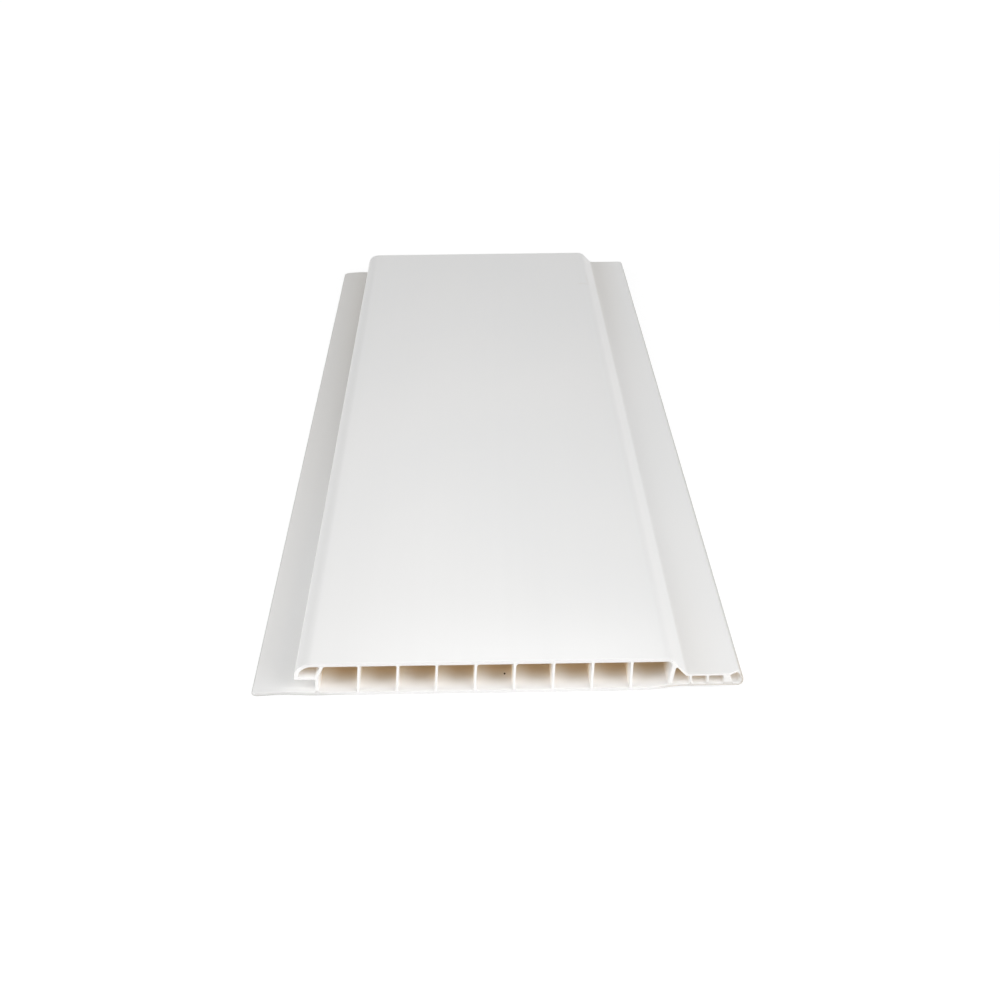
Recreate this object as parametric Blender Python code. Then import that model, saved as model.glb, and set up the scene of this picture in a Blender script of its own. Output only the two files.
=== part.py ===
"""Hollow PVC ceiling plank: one extrusion with a nailing flange, a groove and a tongue.

Metres, +Z up. The plank lies face up: its section is drawn in the XZ plane, from the flange's
outer edge at x = 0 to the tongue's tip, and is drawn out along Y. The finished object is then
placed so that the origin is the middle of the box's underside.
"""

import math

import bmesh
import bpy

# Whole plank
COVER_WIDTH = 0.100
PLANK_LENGTH = 0.400
PLANK_THICKNESS = 0.008

# Skins, webs and walls
SKIN = 0.00075
WEB = 0.00055
WEB_LEAN = 0.0004
CELL_COUNT = 9
FIRST_CELL_EXTRA = 0.0003
CELL_RADIUS = 0.0003

# Nailing flange
FLANGE_REACH = 0.0151
FLANGE_SKIN = 0.0007
FLANGE_BOW = 0.00025
FLANGE_ROOT_RADIUS = 0.0003
FLANGE_STEPS = 16

# Groove wall, nose over the groove and the slanted web that carries it
GROOVE_WALL = 0.00075
GROOVE_RADIUS = 0.00025
NOSE_OVERHANG = 0.0049
NOSE_ROUND_WIDTH = 0.0042
NOSE_ROUND_HEIGHT = 0.0031
NOSE_LIP_RADIUS = 0.0007
NOSE_FLOOR = 0.00065
NOSE_END_WALL = 0.001
NOSE_WEB_RUN = 0.00135

# Tongue and the fits to the neighbouring plank
TONGUE_THICKNESS = 0.00295
TONGUE_SKIN = 0.00045
TONGUE_WEB = 0.0005
TONGUE_CELL_WIDTH = 0.0035
TONGUE_CELL_COUNT = 2
TONGUE_FIRST_WEB_SET = 0.00055
TIP_RADIUS = 0.00135
TIP_WALL = 0.00038
TIP_CELL_WIDTH = 0.0029
TIP_CELL_SLANT = 0.0008
UNDER_TONGUE_GAP = 0.0001
NOSE_FIT_GAP = 0.00005
TONGUE_END_GAP = 0.0001
FLANGE_EDGE_GAP = 0.0001

# Ramp from the face down to the tongue, the wall under it and the step in the back
JOINT_WIDTH = 0.0083
RAMP_RUN = 0.00385
RAMP_TOP_RADIUS = 0.004
RAMP_FOOT_RADIUS = 0.0012
RAMP_SKIN = 0.0005
RAMP_CELL_RADIUS = 0.0008
END_WALL = 0.001
END_WALL_SET_BACK = 0.00425
END_WALL_LEAN = 0.23
LAST_CELL_TRIM = 0.00035
BACK_STEP_RUN = 0.0075
BACK_STEP_RADIUS = 0.012

# Facets
ARC_STEP = math.radians(15.0)
NOSE_STEPS = 10
SMOOTH_ANGLE = math.radians(30.0)

# Heights worked out from the sizes above
CEILING = PLANK_THICKNESS - SKIN
TONGUE_BOTTOM = FLANGE_SKIN + FLANGE_BOW + UNDER_TONGUE_GAP
TONGUE_TOP = TONGUE_BOTTOM + TONGUE_THICKNESS
TONGUE_FLOOR = TONGUE_BOTTOM + TONGUE_SKIN
TONGUE_CEILING = TONGUE_TOP - TONGUE_SKIN
NOSE_UNDERSIDE = TONGUE_TOP + NOSE_FIT_GAP
NOSE_CELL_FLOOR = NOSE_UNDERSIDE + NOSE_FLOOR
NOSE_SPRING = PLANK_THICKNESS - NOSE_ROUND_HEIGHT

# Places across the plank worked out from the sizes above
OVERALL_WIDTH = COVER_WIDTH + FLANGE_REACH - TONGUE_END_GAP
NOSE_TIP_X = FLANGE_REACH - NOSE_OVERHANG
NOSE_CENTRE_X = NOSE_TIP_X + NOSE_ROUND_WIDTH
FIRST_CELL_X = FLANGE_REACH + GROOVE_WALL
RAMP_FOOT_X = COVER_WIDTH + NOSE_TIP_X - JOINT_WIDTH
RAMP_TOP_X = RAMP_FOOT_X - RAMP_RUN
BACK_STEP_END_X = COVER_WIDTH - FLANGE_EDGE_GAP
BACK_STEP_START_X = BACK_STEP_END_X - BACK_STEP_RUN
FIRST_TONGUE_WEB_X = RAMP_FOOT_X + TONGUE_FIRST_WEB_SET
TIP_CELL_END_X = OVERALL_WIDTH - TIP_WALL


def bow_height(x):
    """Rise of the sprung flange at x: a raised cosine, flat at the edge and at the root."""
    return FLANGE_BOW * (1.0 - math.cos(2.0 * math.pi * x / FLANGE_REACH)) / 2.0


def back_height(x):
    """Height of the back's underside at x, past the start of the step up to the tongue."""
    climbed = (x - BACK_STEP_START_X) / BACK_STEP_RUN
    return TONGUE_BOTTOM * min(max(climbed, 0.0), 1.0)


def end_wall_x(z, side):
    """Place of the leaning end wall's face at height z: side -1 faces the cells, +1 the tongue."""
    foot_x = RAMP_FOOT_X - END_WALL_SET_BACK
    return foot_x + (z - TONGUE_BOTTOM) * END_WALL_LEAN + side * END_WALL / 2.0


def ramp_inner_x(z, skin):
    """Place at height z of a hollow's slanted face, which lies one skin inside the ramp."""
    ramp_drop = PLANK_THICKNESS - TONGUE_TOP
    slope_length = math.hypot(RAMP_RUN, ramp_drop)
    level_skin = skin * slope_length / ramp_drop
    return RAMP_TOP_X + (PLANK_THICKNESS - z) * RAMP_RUN / ramp_drop - level_skin


def ramp_meets_end_wall(side, skin):
    """Corner where a hollow's slanted face under the ramp meets a face of the end wall."""
    slant_x = ramp_inner_x(0.0, skin)
    slant_lean = (slant_x - ramp_inner_x(PLANK_THICKNESS, skin)) / PLANK_THICKNESS
    z = (slant_x - end_wall_x(0.0, side)) / (slant_lean + END_WALL_LEAN)
    return end_wall_x(z, side), z


def rounded(corners):
    """Closed outline from corners (x, z, radius): a radius above 0 becomes an arc."""
    points = []
    for index, (x, z, radius) in enumerate(corners):
        before = corners[index - 1]
        after = corners[(index + 1) % len(corners)]
        if radius <= 0.0:
            points.append((x, z))
            continue
        points.extend(corner_arc((before[0], before[1]), (x, z), (after[0], after[1]), radius))
    return points


def corner_arc(before, corner, after, radius):
    """Points of the arc that rounds one corner, tangent to the lines to both neighbours."""
    reach_in = (before[0] - corner[0], before[1] - corner[1])
    reach_out = (after[0] - corner[0], after[1] - corner[1])
    length_in = math.hypot(*reach_in)
    length_out = math.hypot(*reach_out)
    way_in = (reach_in[0] / length_in, reach_in[1] / length_in)
    way_out = (reach_out[0] / length_out, reach_out[1] / length_out)
    opening = math.acos(max(-1.0, min(1.0, way_in[0] * way_out[0] + way_in[1] * way_out[1])))
    tangent = min(radius / math.tan(opening / 2.0), 0.49 * length_in, 0.49 * length_out)
    arc_radius = tangent * math.tan(opening / 2.0)
    middle = (way_in[0] + way_out[0], way_in[1] + way_out[1])
    middle_length = math.hypot(*middle)
    centre_reach = arc_radius / math.sin(opening / 2.0)
    centre = (corner[0] + middle[0] / middle_length * centre_reach,
              corner[1] + middle[1] / middle_length * centre_reach)
    start = math.atan2(corner[1] + way_in[1] * tangent - centre[1],
                       corner[0] + way_in[0] * tangent - centre[0])
    sweep = math.pi - opening
    turn = way_in[0] * way_out[1] - way_in[1] * way_out[0]
    direction = -1.0 if turn > 0.0 else 1.0
    steps = max(2, math.ceil(sweep / ARC_STEP))
    return [(centre[0] + arc_radius * math.cos(start + direction * sweep * step / steps),
             centre[1] + arc_radius * math.sin(start + direction * sweep * step / steps))
            for step in range(steps + 1)]


def ellipse_corners(width, height):
    """Quarter ellipse of the nose, from its top round to its side, as unrounded corners."""
    angles = [math.pi / 2.0 * (1.0 + step / NOSE_STEPS) for step in range(NOSE_STEPS + 1)]
    return [(NOSE_CENTRE_X + width * math.cos(angle), NOSE_SPRING + height * math.sin(angle), 0.0)
            for angle in angles]


def flange_corners(lift, steps):
    """One face of the bowed flange, lifted off its underside, from its edge to its root."""
    edge = FLANGE_SKIN / 2.0
    corners = []
    for step in steps:
        x = edge + (FLANGE_REACH - edge) * step / FLANGE_STEPS
        corners.append((x, bow_height(x) + lift, 0.0))
    return corners


def flange_edge_corners():
    """Round outer edge of the flange, from its upper face over to its underside."""
    edge = FLANGE_SKIN / 2.0
    middle = edge + bow_height(edge)
    steps = math.ceil(math.pi / ARC_STEP)
    angles = [math.pi / 2.0 + math.pi * step / steps for step in range(1, steps)]
    return [(edge + edge * math.cos(angle), middle + edge * math.sin(angle), 0.0)
            for angle in angles]


def outer_outline():
    """The whole outside of the section, once round from the flange's edge."""
    underside = flange_corners(0.0, range(FLANGE_STEPS + 1))
    upper = flange_corners(FLANGE_SKIN, range(FLANGE_STEPS - 1, -1, -1))
    tongue_side = [
        (BACK_STEP_START_X, 0.0, BACK_STEP_RADIUS),
        (BACK_STEP_END_X, TONGUE_BOTTOM, BACK_STEP_RADIUS),
        (OVERALL_WIDTH, TONGUE_BOTTOM, TIP_RADIUS),
        (OVERALL_WIDTH, TONGUE_TOP, TIP_RADIUS),
        (RAMP_FOOT_X, TONGUE_TOP, RAMP_FOOT_RADIUS),
        (RAMP_TOP_X, PLANK_THICKNESS, RAMP_TOP_RADIUS),
    ]
    nose = ellipse_corners(NOSE_ROUND_WIDTH, NOSE_ROUND_HEIGHT)
    groove = [
        (NOSE_TIP_X, NOSE_UNDERSIDE, NOSE_LIP_RADIUS),
        (FLANGE_REACH, NOSE_UNDERSIDE, GROOVE_RADIUS),
        (FLANGE_REACH, FLANGE_SKIN, FLANGE_ROOT_RADIUS),
    ]
    return rounded(underside + tongue_side + nose + groove + upper + flange_edge_corners())


def web_foot_x(index):
    """Middle of a web's foot: even pitch, but for a wider first cell and a narrower last one."""
    first_x = FIRST_CELL_X + FIRST_CELL_EXTRA
    last_x = end_wall_x(SKIN, -1) + LAST_CELL_TRIM
    pitch = (last_x - first_x + WEB) / CELL_COUNT
    return first_x + pitch * (index + 1) - WEB / 2.0


def cell_floor(start_x, end_x, skin):
    """Floor of a hollow from foot to foot, with those bends of the back's step that it spans."""
    bends = [x for x in (BACK_STEP_START_X, BACK_STEP_END_X) if start_x < x < end_x]
    return ([(start_x, back_height(start_x) + skin, CELL_RADIUS)]
            + [(x, back_height(x) + skin, 0.0) for x in bends]
            + [(end_x, back_height(end_x) + skin, CELL_RADIUS)])


def main_cell(index):
    """One of the upright cells, from the ceiling on its groove side down and round."""
    start_x = web_foot_x(index - 1) + WEB / 2.0
    start_side = [(start_x + WEB_LEAN, CEILING, CELL_RADIUS)]
    end_x = web_foot_x(index) - WEB / 2.0
    end_side = [(end_x + WEB_LEAN, CEILING, CELL_RADIUS)]
    if index == 0:
        start_x = FIRST_CELL_X
        start_side = [(FIRST_CELL_X + NOSE_WEB_RUN, CEILING, CELL_RADIUS),
                      (FIRST_CELL_X, NOSE_CELL_FLOOR, CELL_RADIUS)]
    if index == CELL_COUNT - 1:
        end_x = end_wall_x(SKIN + TONGUE_BOTTOM, -1)
        shoulder_x, shoulder_z = ramp_meets_end_wall(-1, SKIN)
        end_side = [(shoulder_x, shoulder_z, RAMP_CELL_RADIUS),
                    (ramp_inner_x(CEILING, SKIN), CEILING, RAMP_CELL_RADIUS)]
    return rounded(start_side + cell_floor(start_x, end_x, SKIN) + end_side)


def nose_cell():
    """Hollow of the nose, between its rounded end and the slanted web."""
    dome = ellipse_corners(NOSE_ROUND_WIDTH - NOSE_END_WALL, NOSE_ROUND_HEIGHT - SKIN)
    return rounded(dome + [
        (NOSE_TIP_X + NOSE_END_WALL, NOSE_CELL_FLOOR, 0.0),
        (FLANGE_REACH, NOSE_CELL_FLOOR, CELL_RADIUS),
        (FLANGE_REACH + NOSE_WEB_RUN, CEILING, CELL_RADIUS),
    ])


def ramp_cell():
    """Three-cornered hollow under the ramp, between the end wall and the first tongue web."""
    apex_x, apex_z = ramp_meets_end_wall(1, RAMP_SKIN)
    floor = cell_floor(end_wall_x(TONGUE_FLOOR, 1), FIRST_TONGUE_WEB_X, TONGUE_SKIN)
    return rounded([(apex_x, apex_z, CELL_RADIUS)] + floor + [
        (FIRST_TONGUE_WEB_X, TONGUE_CEILING, CELL_RADIUS),
        (ramp_inner_x(TONGUE_CEILING, RAMP_SKIN), TONGUE_CEILING, 0.0),
    ])


def tongue_cell(index):
    """One of the tongue's box hollows."""
    start = FIRST_TONGUE_WEB_X + TONGUE_WEB + index * (TONGUE_CELL_WIDTH + TONGUE_WEB)
    end = start + TONGUE_CELL_WIDTH
    return rounded([
        (start, TONGUE_CEILING, CELL_RADIUS),
        (start, TONGUE_FLOOR, CELL_RADIUS),
        (end, TONGUE_FLOOR, CELL_RADIUS),
        (end, TONGUE_CEILING, CELL_RADIUS),
    ])


def tip_cell():
    """Last hollow, behind the tongue's thin round tip."""
    inner_radius = TIP_RADIUS - TIP_WALL
    start = TIP_CELL_END_X - TIP_CELL_WIDTH
    return rounded([
        (start, TONGUE_CEILING, CELL_RADIUS),
        (start + TIP_CELL_SLANT, TONGUE_FLOOR, CELL_RADIUS),
        (TIP_CELL_END_X, TONGUE_FLOOR, inner_radius),
        (TIP_CELL_END_X, TONGUE_CEILING, inner_radius),
    ])


def section_loops():
    """Every closed loop of the section: the outside first, then each hollow."""
    loops = [outer_outline(), nose_cell()]
    for index in range(CELL_COUNT):
        loops.append(main_cell(index))
    loops.append(ramp_cell())
    for index in range(TONGUE_CELL_COUNT):
        loops.append(tongue_cell(index))
    loops.append(tip_cell())
    return loops


def plank_mesh(name):
    """Fill the section between its loops and draw it out along Y into one closed solid."""
    shape = bmesh.new()
    for loop in section_loops():
        corners = [shape.verts.new((x, 0.0, z)) for x, z in loop]
        for index, corner in enumerate(corners):
            shape.edges.new((corners[index - 1], corner))
    bmesh.ops.triangle_fill(shape, use_beauty=True, edges=shape.edges[:], normal=(0.0, -1.0, 0.0))
    drawn = bmesh.ops.extrude_face_region(shape, geom=shape.faces[:])
    far_corners = [item for item in drawn["geom"] if isinstance(item, bmesh.types.BMVert)]
    bmesh.ops.translate(shape, verts=far_corners, vec=(0.0, PLANK_LENGTH, 0.0))
    bmesh.ops.recalc_face_normals(shape, faces=shape.faces[:])
    mesh = bpy.data.meshes.new(name)
    shape.to_mesh(mesh)
    shape.free()
    mesh.shade_smooth()
    mesh.set_sharp_from_angle(angle=SMOOTH_ANGLE)
    return mesh


def white_pvc():
    """Plain white rigid PVC with a soft sheen."""
    material = bpy.data.materials.new("white_pvc")
    material.use_nodes = True
    shader = material.node_tree.nodes["Principled BSDF"]
    shader.inputs["Base Color"].default_value = (0.86, 0.86, 0.85, 1.0)
    shader.inputs["Roughness"].default_value = 0.38
    shader.inputs["Metallic"].default_value = 0.0
    return material


def build_plank():
    """Model the plank and place it with the origin under the middle of its box."""
    plank = bpy.data.objects.new("pvc_panel", plank_mesh("pvc_panel"))
    plank.data.materials.append(white_pvc())
    plank.location = (-OVERALL_WIDTH / 2.0, -PLANK_LENGTH / 2.0, 0.0)
    bpy.context.scene.collection.objects.link(plank)
    return plank


def main():
    """Clear the scene and build the plank."""
    for leftover in list(bpy.data.objects):
        bpy.data.objects.remove(leftover, do_unlink=True)
    build_plank()


main()
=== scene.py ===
"""Looks of the hollow PVC ceiling plank: one extruded length, lying face up, both ends open.

Metres, +Z up, +X from the nailing flange to the tongue, +Y from the near cut end. The section is
written as complex numbers, x across and z up, from the flange's outer edge on the flat back.
"""

import logging
import math
from dataclasses import dataclass, field
from enum import Enum
from typing import Any, Sequence, Union

import bpy
import numpy as np
from mathutils import Matrix, Vector
from mathutils.geometry import delaunay_2d_cdt


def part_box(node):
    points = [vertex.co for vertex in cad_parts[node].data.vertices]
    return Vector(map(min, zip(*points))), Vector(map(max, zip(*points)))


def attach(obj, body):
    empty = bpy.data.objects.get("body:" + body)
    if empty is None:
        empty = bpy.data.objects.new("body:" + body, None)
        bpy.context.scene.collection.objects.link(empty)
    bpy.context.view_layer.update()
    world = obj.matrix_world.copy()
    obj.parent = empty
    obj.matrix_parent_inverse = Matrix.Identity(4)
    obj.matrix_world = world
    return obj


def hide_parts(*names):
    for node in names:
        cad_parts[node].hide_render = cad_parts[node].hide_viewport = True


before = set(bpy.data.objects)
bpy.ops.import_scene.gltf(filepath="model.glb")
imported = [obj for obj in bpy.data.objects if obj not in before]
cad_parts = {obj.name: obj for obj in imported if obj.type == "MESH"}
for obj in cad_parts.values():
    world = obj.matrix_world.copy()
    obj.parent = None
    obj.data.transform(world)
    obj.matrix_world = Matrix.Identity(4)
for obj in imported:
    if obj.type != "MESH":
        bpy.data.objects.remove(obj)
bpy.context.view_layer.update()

MM = 0.001
LOG = logging.getLogger("ceiling_plank")

Corner = tuple[float, float, float]
Point = tuple[float, float, float]
Rgb = tuple[float, float, float]
Span = tuple[float, float]

ARC_STEPS = 3  # fewest steps in a rounded corner
RUN_SHARE = 0.49  # most of a straight run that a rounded corner takes up
WELD = 1e-7  # distance under which the filling of a cut end joins two points, in millimetres
BLACK: Rgb = (0.0, 0.0, 0.0)
WHITE: Rgb = (1.0, 1.0, 1.0)
NEAR_END: Point = (0.0, -0.2, 0.0)
MIDDLE: Point = (0.0, 0.0, 0.0)


class Wall(Enum):
    """What a loop of the section bounds, how deep its painted shade turns it tan, and how strong
    the painted glow is that stands in for light seeping into it.
    """

    SKIN = (0.0, 0.0, 0.0, 0.0)
    MAIN_CELL = (14.0 * MM, 0.0, 1.0, 0.30)
    EDGE_CELL = (8.5 * MM, 0.32, 0.65, 0.65)
    TONGUE_CELL = (7.5 * MM, 0.37, 0.60, 0.60)
    TIP_CELL = (12.0 * MM, 0.46, 0.60, 0.60)

    def __init__(self, tan_depth: float, level_seeping: float, start_seeping: float,
                 end_seeping: float) -> None:
        """Name the parts of a member's value.

        Args:
            tan_depth: Depth from a mouth at which a hollow's painted shade has turned fully tan.
            level_seeping: Share of the painted glow, which stands in for seeping light, on floor
                and ceiling.
            start_seeping: The same on the upright wall towards the groove.
            end_seeping: The same on the upright wall towards the tongue.
        """
        self.tan_depth = tan_depth
        self.level_seeping = level_seeping
        self.start_seeping = start_seeping
        self.end_seeping = end_seeping


def smooth_step(values: np.ndarray, low: float, high: float) -> np.ndarray:
    """Rise from 0 at low to 1 at high along the cubic 3t^2 - 2t^3.

    Args:
        values: Where to read the step.
        low: Value at and below which the step is 0.
        high: Value at and above which the step is 1.

    Returns:
        The step at each value.
    """
    share = np.clip((values - low) / (high - low), 0.0, 1.0)
    return share * share * (3.0 - 2.0 * share)


def round_corners(corners: Sequence[Corner], turn_step: float) -> np.ndarray:
    """Round the corners of a closed outline.

    A corner with a radius becomes an arc that touches both runs beside it: the arc starts
    radius / tan(opening / 2) from the corner, though no further than a share of either run, and
    its centre lies on the corner's bisector, that distance / cos(opening / 2) away.

    Args:
        corners: The outline's corners, each x, z and radius.
        turn_step: Largest turn between two neighbouring points of an arc, in radians.

    Returns:
        The rounded outline as complex points.
    """
    pieces = []
    for index, (x, z, radius) in enumerate(corners):
        corner = complex(x, z)
        if radius <= 0.0:
            pieces.append(np.array([corner]))
            continue
        before = complex(*corners[index - 1][:2]) - corner
        after = complex(*corners[(index + 1) % len(corners)][:2]) - corner
        way_in = before / abs(before)
        way_out = after / abs(after)
        opening = abs(np.angle(way_out / way_in))
        longest = RUN_SHARE * min(abs(before), abs(after))
        tangent = min(radius / math.tan(opening / 2), longest)
        bisector = (way_in + way_out) / abs(way_in + way_out)
        centre = corner + bisector * tangent / math.cos(opening / 2)
        start = corner + way_in * tangent - centre
        sweep = np.angle((corner + way_out * tangent - centre) / start)
        steps = max(ARC_STEPS, math.ceil(abs(sweep) / turn_step))
        pieces.append(centre + start * np.exp(1j * sweep * np.linspace(0.0, 1.0, steps + 1)))
    return np.concatenate(pieces)


def fill_runs(outline: np.ndarray, longest: float) -> np.ndarray:
    """Add points along the straight runs of a closed outline, and keep every corner.

    The outline is read again at its own arc lengths and at evenly spaced ones between them.

    Args:
        outline: Closed outline as complex points.
        longest: Spacing of the added points.

    Returns:
        The outline with its long runs divided.
    """
    closed = np.append(outline, outline[0])
    lengths = np.abs(np.diff(closed))
    shares = np.maximum(1, np.ceil(lengths / longest)).astype(int)
    starts = np.repeat(closed[:-1], shares)
    runs = np.repeat(np.diff(closed) / shares, shares)
    counts = np.arange(shares.sum()) - np.repeat(np.cumsum(shares) - shares, shares)
    return starts + runs * counts


def turned(outline: np.ndarray, counter_clockwise: bool) -> np.ndarray:
    """Give a closed outline the wanted sense of travel, from the sign of its shoelace area."""
    area = np.sum((np.conj(outline) * np.roll(outline, -1)).imag)
    return outline if (area > 0.0) == counter_clockwise else outline[::-1]


@dataclass(frozen=True)
class PlankSection:
    """The plank's section: skins, webs, hollows, flange, nose over the groove, ramp and tongue."""

    overall_width: float
    thickness: float
    skin: float = 0.75 * MM
    web: float = 0.55 * MM
    web_lean: float = 0.40 * MM
    cell_count: int = 9
    first_cell_extra: float = 0.30 * MM
    cell_radius: float = 0.35 * MM
    soft_cell_radii: dict[int, float] = field(
        default_factory=lambda: {4: 0.60 * MM, 5: 0.75 * MM})

    flange_reach: float = 15.10 * MM
    flange_skin: float = 0.70 * MM
    flange_bow: float = 0.25 * MM
    flange_root_radius: float = 0.30 * MM

    groove_wall: float = 0.75 * MM
    groove_radius: float = 0.25 * MM
    nose_overhang: float = 4.90 * MM
    nose_round_width: float = 4.20 * MM
    nose_round_height: float = 3.10 * MM
    nose_lip_radius: float = 0.70 * MM
    nose_underside: float = 4.05 * MM
    nose_floor: float = 0.65 * MM
    nose_end_wall: float = 1.00 * MM
    nose_web_run: float = 1.35 * MM

    tongue_bottom: float = 1.05 * MM
    tongue_thickness: float = 2.95 * MM
    tongue_skin: float = 0.45 * MM
    tongue_web: float = 0.50 * MM
    tongue_cell_width: float = 3.50 * MM
    tongue_cell_count: int = 2
    first_tongue_web_set: float = 0.55 * MM
    tip_radius: float = 1.35 * MM
    tip_wall: float = 0.38 * MM
    tip_cell_width: float = 2.90 * MM
    tip_cell_slant: float = 0.80 * MM

    ramp_foot_set: float = 13.10 * MM
    ramp_run: float = 3.85 * MM
    ramp_top_radius: float = 4.00 * MM
    ramp_foot_radius: float = 1.20 * MM
    ramp_skin: float = 0.50 * MM
    ramp_cell_radius: float = 0.80 * MM
    end_wall: float = 1.00 * MM
    end_wall_set_back: float = 4.25 * MM
    end_wall_lean: float = 0.23
    last_cell_trim: float = 0.35 * MM
    back_step_end_set: float = 15.10 * MM
    back_step_run: float = 7.50 * MM
    back_step_radius: float = 12.00 * MM

    turn_step: float = math.radians(9.0)
    face_run: float = 2.0 * MM
    hollow_run: float = 3.0 * MM
    flange_points: int = 25
    flange_edge_points: int = 13

    @property
    def ceiling(self) -> float:
        """Height of the main cells' ceiling."""
        return self.thickness - self.skin

    @property
    def tongue_top(self) -> float:
        """Height of the tongue's upper face."""
        return self.tongue_bottom + self.tongue_thickness

    @property
    def tongue_floor(self) -> float:
        """Height of the floor of the tongue's hollows."""
        return self.tongue_bottom + self.tongue_skin

    @property
    def tongue_ceiling(self) -> float:
        """Height of the ceiling of the tongue's hollows."""
        return self.tongue_top - self.tongue_skin

    @property
    def back_bends(self) -> tuple[float, float]:
        """Where the back's step up to the tongue starts and ends."""
        end_x = self.overall_width - self.back_step_end_set
        return end_x - self.back_step_run, end_x

    @property
    def ramp_foot_x(self) -> float:
        """Foot of the ramp, where the tongue's upper face begins."""
        return self.overall_width - self.ramp_foot_set

    @property
    def ramp_top_x(self) -> float:
        """Top of the ramp, where the show face ends."""
        return self.ramp_foot_x - self.ramp_run

    @property
    def nose_tip_x(self) -> float:
        """Outermost place of the nose."""
        return self.flange_reach - self.nose_overhang

    @property
    def nose_cell_floor(self) -> float:
        """Height of the floor of the nose's hollow."""
        return self.nose_underside + self.nose_floor

    @property
    def first_cell_x(self) -> float:
        """Left wall of the first main cell."""
        return self.flange_reach + self.groove_wall

    @property
    def first_tongue_web_x(self) -> float:
        """Left side of the first web in the tongue."""
        return self.ramp_foot_x + self.first_tongue_web_set

    def bow(self, x: np.ndarray) -> np.ndarray:
        """Rise of the sprung flange at x: half of bow * (1 - cos(2 pi x / reach))."""
        return self.flange_bow * (1.0 - np.cos(2.0 * np.pi * x / self.flange_reach)) / 2.0

    def back_height(self, x: float) -> float:
        """Height of the underside at x, a straight rise over the step up to the tongue."""
        climbed = (x - self.back_bends[0]) / self.back_step_run
        return self.tongue_bottom * min(max(climbed, 0.0), 1.0)

    def end_wall_x(self, z: float, side: int) -> float:
        """Place of the leaning end wall's face at z: side -1 faces the cells, +1 the tongue."""
        foot_x = self.ramp_foot_x - self.end_wall_set_back
        return foot_x + (z - self.tongue_bottom) * self.end_wall_lean + side * self.end_wall / 2.0

    def ramp_inner_x(self, z: float, skin: float) -> float:
        """Place at height z of a hollow's slanted face, which lies one skin inside the ramp.

        Args:
            z: Height.
            skin: Thickness of the skin, square to the ramp.

        Returns:
            The face's x at that height.
        """
        drop = self.thickness - self.tongue_top
        level_skin = skin * math.hypot(self.ramp_run, drop) / drop
        return self.ramp_top_x + (self.thickness - z) * self.ramp_run / drop - level_skin

    def ramp_meets_end_wall(self, side: int, skin: float) -> tuple[float, float]:
        """Corner where a hollow's slanted face under the ramp meets a face of the end wall.

        Args:
            side: -1 for the end wall's face towards the cells, +1 for the one to the tongue.
            skin: Wall between the slanted face and the ramp.

        Returns:
            The corner's x and z.
        """
        slant_x = self.ramp_inner_x(0.0, skin)
        lean = (slant_x - self.ramp_inner_x(self.thickness, skin)) / self.thickness
        z = (slant_x - self.end_wall_x(0.0, side)) / (lean + self.end_wall_lean)
        return self.end_wall_x(z, side), z

    def web_foot_x(self, index: int) -> float:
        """Middle of a web's foot: even pitch, but for a wider first and a narrower last cell.

        Args:
            index: Number of the web, from 0 at the groove.

        Returns:
            The middle's x.
        """
        start_x = self.first_cell_x + self.first_cell_extra
        last_x = self.end_wall_x(self.skin, -1) + self.last_cell_trim
        pitch = (last_x - start_x + self.web) / self.cell_count
        return start_x + pitch * (index + 1) - self.web / 2.0

    def dome(self, inset: float, end_inset: float) -> list[Corner]:
        """Quarter ellipse of the nose from its top round to its side.

        x is the centre plus width * cos(angle) and z the spring line plus height * sin(angle),
        with the angle going from a quarter turn to a half turn.

        Args:
            inset: How far inside the outer top the curve's top lies.
            end_inset: How far inside the nose's tip the curve's side lies.

        Returns:
            Unrounded corners along the curve.
        """
        steps = math.ceil(math.pi / 2.0 / self.turn_step) * 2
        angles = np.linspace(math.pi / 2.0, math.pi, steps + 1)
        spring = self.thickness - self.nose_round_height
        centre_x = self.nose_tip_x + self.nose_round_width
        xs = centre_x + (self.nose_round_width - end_inset) * np.cos(angles)
        zs = spring + (self.nose_round_height - inset) * np.sin(angles)
        return [(x, z, 0.0) for x, z in zip(xs, zs)]

    def flange_face(self, lift: float) -> list[Corner]:
        """One face of the bowed flange, from near its round edge to its root."""
        xs = np.linspace(self.flange_skin / 2.0, self.flange_reach, self.flange_points)
        return [(x, z, 0.0) for x, z in zip(xs, self.bow(xs) + lift)]

    def flange_edge(self) -> list[Corner]:
        """Half circle of the flange's outer edge, from its upper face over to its underside.

        Returns:
            Unrounded corners along the half circle.
        """
        half = self.flange_skin / 2.0
        middle = half + float(self.bow(np.array(half)))
        arc = np.linspace(math.pi / 2.0, 1.5 * math.pi, self.flange_edge_points)[1:-1]
        return [(half + half * math.cos(a), middle + half * math.sin(a), 0.0) for a in arc]

    def outside(self) -> np.ndarray:
        """The whole outside of the section, once round from the flange's edge.

        Returns:
            Complex points of the outside.
        """
        step_start_x, step_end_x = self.back_bends
        tongue_side = [
            (step_start_x, 0.0, self.back_step_radius),
            (step_end_x, self.tongue_bottom, self.back_step_radius),
            (self.overall_width, self.tongue_bottom, self.tip_radius),
            (self.overall_width, self.tongue_top, self.tip_radius),
            (self.ramp_foot_x, self.tongue_top, self.ramp_foot_radius),
            (self.ramp_top_x, self.thickness, self.ramp_top_radius),
        ]
        groove = [
            (self.nose_tip_x, self.nose_underside, self.nose_lip_radius),
            (self.flange_reach, self.nose_underside, self.groove_radius),
            (self.flange_reach, self.flange_skin, self.flange_root_radius),
        ]
        upper = self.flange_face(self.flange_skin)[-2::-1]
        corners = self.flange_face(0.0) + tongue_side + self.dome(0.0, 0.0) + groove + upper
        return round_corners(corners + self.flange_edge(), self.turn_step)

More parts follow.
